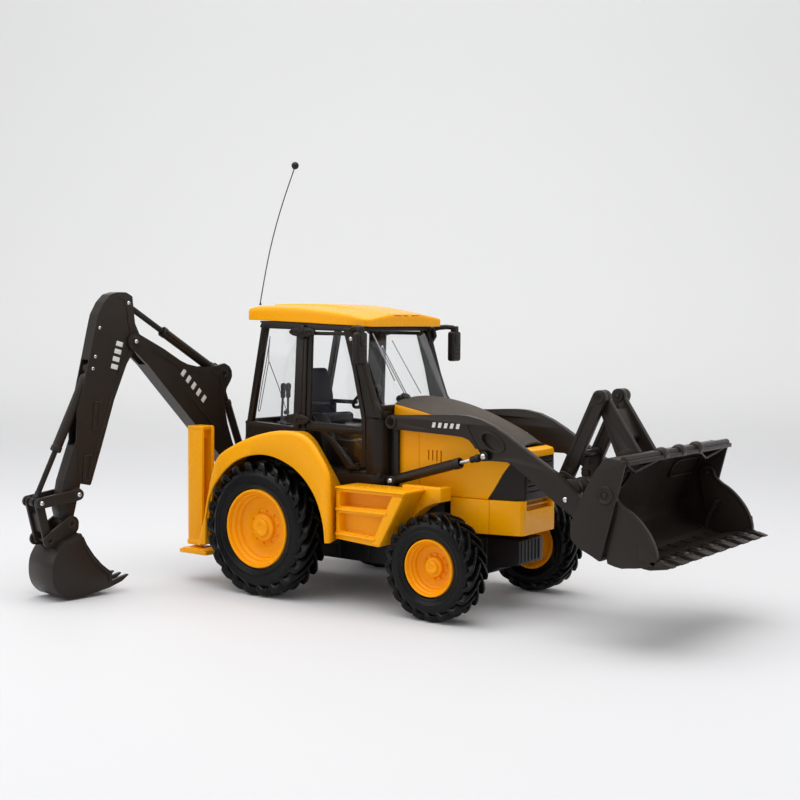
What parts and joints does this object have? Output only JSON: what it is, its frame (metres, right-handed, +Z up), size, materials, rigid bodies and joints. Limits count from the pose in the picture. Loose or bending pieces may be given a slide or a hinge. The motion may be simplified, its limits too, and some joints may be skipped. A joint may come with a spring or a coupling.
{
  "type": "toy backhoe loader",
  "caption": "Toy tractor with a clam bucket on front loader arms and a swinging backhoe behind a glazed cab; wheels, steering, arms, buckets and stabilisers all move.",
  "frame": {"origin": "middle of the flat belly face of the chassis channel, on the centre plane", "axes": "+X forward towards the loader bucket, +Y to the machine's left, +Z up"},
  "size_m": [0.4052, 0.256, 0.2866],
  "materials": {
    "yellow_plastic": "gloss",
    "dark_plastic": "satin",
    "cab_plastic": "satin",
    "black_plastic": "matte",
    "tyre_rubber": "matte",
    "turned_steel": "bright turned",
    "clear_plastic": "clear",
    "seat_plastic": "matte",
    "battery_plastic": "matte"
  },
  "bodies": {
    "chassis": {"chassis_frame": "black_plastic", "drive_unit": "black_plastic", "battery_pack": "battery_plastic", "front_axle_beam": "black_plastic", "hood_shell": "yellow_plastic", "hood_cover": "dark_plastic", "grille_nose": "dark_plastic", "front_bumper": "yellow_plastic", "side_steps_right": "yellow_plastic", "side_steps_left": "yellow_plastic", "fender_right": "yellow_plastic", "fender_left": "yellow_plastic", "cab_base": "cab_plastic", "cab_frame": "cab_plastic", "roof": "yellow_plastic", "windshield": "clear_plastic", "rear_glazing": "clear_plastic", "door_right": "cab_plastic", "door_left": "cab_plastic", "seat": "seat_plastic", "steering_column": "cab_plastic", "mirror_right": "cab_plastic", "mirror_left": "cab_plastic", "antenna": "black_plastic", "rear_frame": "yellow_plastic"},
    "steering_wheel_body": {"steering_wheel": "cab_plastic"},
    "knuckle_right": {"steering_knuckle_right": "black_plastic"},
    "knuckle_left": {"steering_knuckle_left": "black_plastic"},
    "tie_rod_body": {"tie_rod": "black_plastic"},
    "wheel_rear_right": {"tyre_rear_right": "tyre_rubber", "rim_rear_right": "yellow_plastic"},
    "wheel_rear_left": {"tyre_rear_left": "tyre_rubber", "rim_rear_left": "yellow_plastic"},
    "wheel_front_right": {"tyre_front_right": "tyre_rubber", "rim_front_right": "yellow_plastic"},
    "wheel_front_left": {"tyre_front_left": "tyre_rubber", "rim_front_left": "yellow_plastic"},
    "stabiliser_right": {"stabiliser_leg_right": "yellow_plastic"},
    "stabiliser_left": {"stabiliser_leg_left": "yellow_plastic"},
    "arms": {"loader_arms": "dark_plastic"},
    "lift_barrel_right": {"lift_right_barrel": "dark_plastic"},
    "lift_barrel_left": {"lift_left_barrel": "dark_plastic"},
    "lift_rod_right": {"lift_right_rod": "turned_steel"},
    "lift_rod_left": {"lift_left_rod": "turned_steel"},
    "levers": {"tilt_levers": "dark_plastic"},
    "links": {"tilt_links": "dark_plastic"},
    "front_bucket": {"loader_bucket": "dark_plastic"},
    "clam": {"clam_jaw": "dark_plastic"},
    "post": {"swing_post": "dark_plastic"},
    "boom_body": {"boom": "dark_plastic"},
    "dipper_body": {"dipper": "dark_plastic"},
    "rear_bucket": {"hoe_bucket": "dark_plastic"},
    "rocker": {"rocker_link": "dark_plastic"},
    "push": {"push_link": "dark_plastic"},
    "boom_barrel": {"boom_cyl_barrel": "dark_plastic"},
    "boom_rod": {"boom_cyl_rod": "dark_plastic"},
    "dipper_barrel": {"dipper_cyl_barrel": "dark_plastic"},
    "dipper_rod": {"dipper_cyl_rod": "dark_plastic"},
    "curl_barrel": {"curl_cyl_barrel": "dark_plastic"},
    "curl_rod": {"curl_cyl_rod": "dark_plastic"}
  },
  "joints": [
    {"name": "rear_wheel_right_spin", "type": "hinge", "parent": "chassis", "child": "wheel_rear_right", "pos_m": [-0.032, -0.0648, 0.0245], "axis": [0, 1, 0], "continuous": true},
    {"name": "rear_wheel_left_spin", "type": "hinge", "parent": "chassis", "child": "wheel_rear_left", "pos_m": [-0.032, 0.0648, 0.0245], "axis": [0, 1, 0], "continuous": true},
    {"name": "steer_right", "type": "hinge", "parent": "chassis", "child": "knuckle_right", "pos_m": [0.1004, -0.044, 0.0126], "axis": [0, 0, 1], "range_deg": [-15, 15]},
    {"name": "steer_left", "type": "hinge", "parent": "chassis", "child": "knuckle_left", "pos_m": [0.1004, 0.044, 0.0126], "axis": [0, 0, 1], "range_deg": [-15.5, 15.5]},
    {"name": "tie_rod_pivot", "type": "hinge", "parent": "knuckle_right", "child": "tie_rod_body", "pos_m": [0.089, -0.0432, 0.0078], "axis": [0, 0, 1], "range_deg": [-15.5, 15.5]},
    {"name": "front_wheel_right_spin", "type": "hinge", "parent": "knuckle_right", "child": "wheel_front_right", "pos_m": [0.1004, -0.0592, 0.0126], "axis": [0, 1, 0], "continuous": true},
    {"name": "front_wheel_left_spin", "type": "hinge", "parent": "knuckle_left", "child": "wheel_front_left", "pos_m": [0.1004, 0.0592, 0.0126], "axis": [0, 1, 0], "continuous": true},
    {"name": "steering_wheel_turn", "type": "hinge", "parent": "chassis", "child": "steering_wheel_body", "pos_m": [0.0011, 0, 0.10901], "axis": [-0.6818, 0, 0.7316], "continuous": true},
    {"name": "stabiliser_right_slide", "type": "slide", "parent": "chassis", "child": "stabiliser_right", "axis": [0, 0, 1], "range_m": [-0.018, 0.0015]},
    {"name": "stabiliser_left_slide", "type": "slide", "parent": "chassis", "child": "stabiliser_left", "axis": [0, 0, 1], "range_m": [-0.018, 0.0015]},
    {"name": "loader_lift", "type": "hinge", "parent": "chassis", "child": "arms", "pos_m": [0.0497, 0, 0.0967], "axis": [0, -1, 0], "range_deg": [-10, 40]},
    {"name": "lift_barrel_right_pivot", "type": "hinge", "parent": "chassis", "child": "lift_barrel_right", "pos_m": [0.05, -0.0366, 0.0588], "axis": [0, -1, 0], "range_deg": [-8.4, 32.1]},
    {"name": "lift_rod_right_pivot", "type": "hinge", "parent": "arms", "child": "lift_rod_right", "pos_m": [0.1203, -0.0366, 0.0793], "axis": [0, -1, 0], "range_deg": [-9, 2.7]},
    {"name": "lift_barrel_left_pivot", "type": "hinge", "parent": "chassis", "child": "lift_barrel_left", "pos_m": [0.05, 0.0366, 0.0588], "axis": [0, -1, 0], "range_deg": [-8.4, 32.1]},
    {"name": "lift_rod_left_pivot", "type": "hinge", "parent": "arms", "child": "lift_rod_left", "pos_m": [0.1203, 0.0366, 0.0793], "axis": [0, -1, 0], "range_deg": [-9, 2.7]},
    {"name": "loader_tilt", "type": "hinge", "parent": "arms", "child": "front_bucket", "pos_m": [0.1895, 0, 0.0505], "axis": [0, -1, 0], "range_deg": [-40, 9]},
    {"name": "tilt_lever_pivot", "type": "hinge", "parent": "arms", "child": "levers", "pos_m": [0.1645, 0, 0.068], "axis": [0, -1, 0], "range_deg": [-26.7, 6.4]},
    {"name": "tilt_link_pivot", "type": "hinge", "parent": "levers", "child": "links", "pos_m": [0.1866, 0, 0.117], "axis": [0, -1, 0], "range_deg": [-4.9, 20.1]},
    {"name": "clam_open", "type": "hinge", "parent": "front_bucket", "child": "clam", "pos_m": [0.2198, 0, 0.0674], "axis": [0, -1, 0], "range_deg": [0, 50]},
    {"name": "hoe_swing", "type": "hinge", "parent": "chassis", "child": "post", "pos_m": [-0.108, 0, 0.032], "axis": [0, 0, 1], "range_deg": [-160, 2]},
    {"name": "hoe_boom", "type": "hinge", "parent": "post", "child": "boom_body", "pos_m": [-0.11037, -0.01683, 0.053], "axis": [-0.9903, 0.1392, 0], "range_deg": [-16, 12]},
    {"name": "boom_barrel_pivot", "type": "hinge", "parent": "post", "child": "boom_barrel", "pos_m": [-0.10849, -0.00347, 0.057], "axis": [-0.9903, 0.1392, 0], "range_deg": [-15.7, 11.9]},
    {"name": "boom_rod_pivot", "type": "hinge", "parent": "boom_body", "child": "boom_rod", "pos_m": [-0.11183, -0.02723, 0.1225], "axis": [-0.9903, 0.1392, 0], "range_deg": [-1.2, 1.4]},
    {"name": "hoe_dipper", "type": "hinge", "parent": "boom_body", "child": "dipper_body", "pos_m": [-0.12225, -0.1014, 0.146], "axis": [-0.9903, 0.1392, 0], "range_deg": [-5, 35]},
    {"name": "dipper_barrel_pivot", "type": "hinge", "parent": "boom_body", "child": "dipper_barrel", "pos_m": [-0.11183, -0.02723, 0.1225], "axis": [-0.9903, 0.1392, 0], "range_deg": [-1.3, 5.9]},
    {"name": "dipper_rod_pivot", "type": "hinge", "parent": "dipper_body", "child": "dipper_rod", "pos_m": [-0.12285, -0.10566, 0.1717], "axis": [-0.9903, 0.1392, 0], "range_deg": [-30.2, 4.8]},
    {"name": "hoe_bucket_curl", "type": "hinge", "parent": "dipper_body", "child": "rear_bucket", "pos_m": [-0.12938, -0.1521, 0.0287], "axis": [-0.9903, 0.1392, 0], "range_deg": [-15, 60]},
    {"name": "rocker_pivot", "type": "hinge", "parent": "dipper_body", "child": "rocker", "pos_m": [-0.12865, -0.14696, 0.0471], "axis": [-0.9903, 0.1392, 0], "range_deg": [-11.2, 43]},
    {"name": "push_link_pivot", "type": "hinge", "parent": "rocker", "child": "push", "pos_m": [-0.13245, -0.17399, 0.0439], "axis": [-0.9903, 0.1392, 0], "range_deg": [-29.2, 7.7]},
    {"name": "curl_barrel_pivot", "type": "hinge", "parent": "dipper_body", "child": "curl_barrel", "pos_m": [-0.12671, -0.13309, 0.1285], "axis": [-0.9903, 0.1392, 0], "range_deg": [-1.6, 4.7]},
    {"name": "curl_rod_pivot", "type": "hinge", "parent": "rocker", "child": "curl_rod", "pos_m": [-0.13245, -0.17399, 0.0439], "axis": [-0.9903, 0.1392, 0], "range_deg": [-38.9, 10.1]}
  ],
  "couplings": [
    {"joint": "steer_left", "follows": "steer_right", "ratio": 1},
    {"joint": "tie_rod_pivot", "follows": "steer_right", "ratio": -1},
    {"joint": "lift_barrel_right_pivot", "follows": "loader_lift", "ratio": 0.789},
    {"joint": "lift_rod_right_pivot", "follows": "loader_lift", "ratio": -0.211},
    {"joint": "lift_barrel_left_pivot", "follows": "loader_lift", "ratio": 0.789},
    {"joint": "lift_rod_left_pivot", "follows": "loader_lift", "ratio": -0.211},
    {"joint": "tilt_lever_pivot", "follows": "loader_tilt", "ratio": 0.653},
    {"joint": "tilt_link_pivot", "follows": "loader_tilt", "ratio": -0.488},
    {"joint": "boom_barrel_pivot", "follows": "hoe_boom", "ratio": 0.945},
    {"joint": "boom_rod_pivot", "follows": "hoe_boom", "ratio": -0.055},
    {"joint": "dipper_barrel_pivot", "follows": "hoe_dipper", "ratio": 0.154},
    {"joint": "dipper_rod_pivot", "follows": "hoe_dipper", "ratio": -0.846},
    {"joint": "rocker_pivot", "follows": "hoe_bucket_curl", "ratio": 0.708},
    {"joint": "push_link_pivot", "follows": "hoe_bucket_curl", "ratio": -0.478},
    {"joint": "curl_barrel_pivot", "follows": "hoe_bucket_curl", "ratio": 0.069},
    {"joint": "curl_rod_pivot", "follows": "hoe_bucket_curl", "ratio": -0.639}
  ]
}
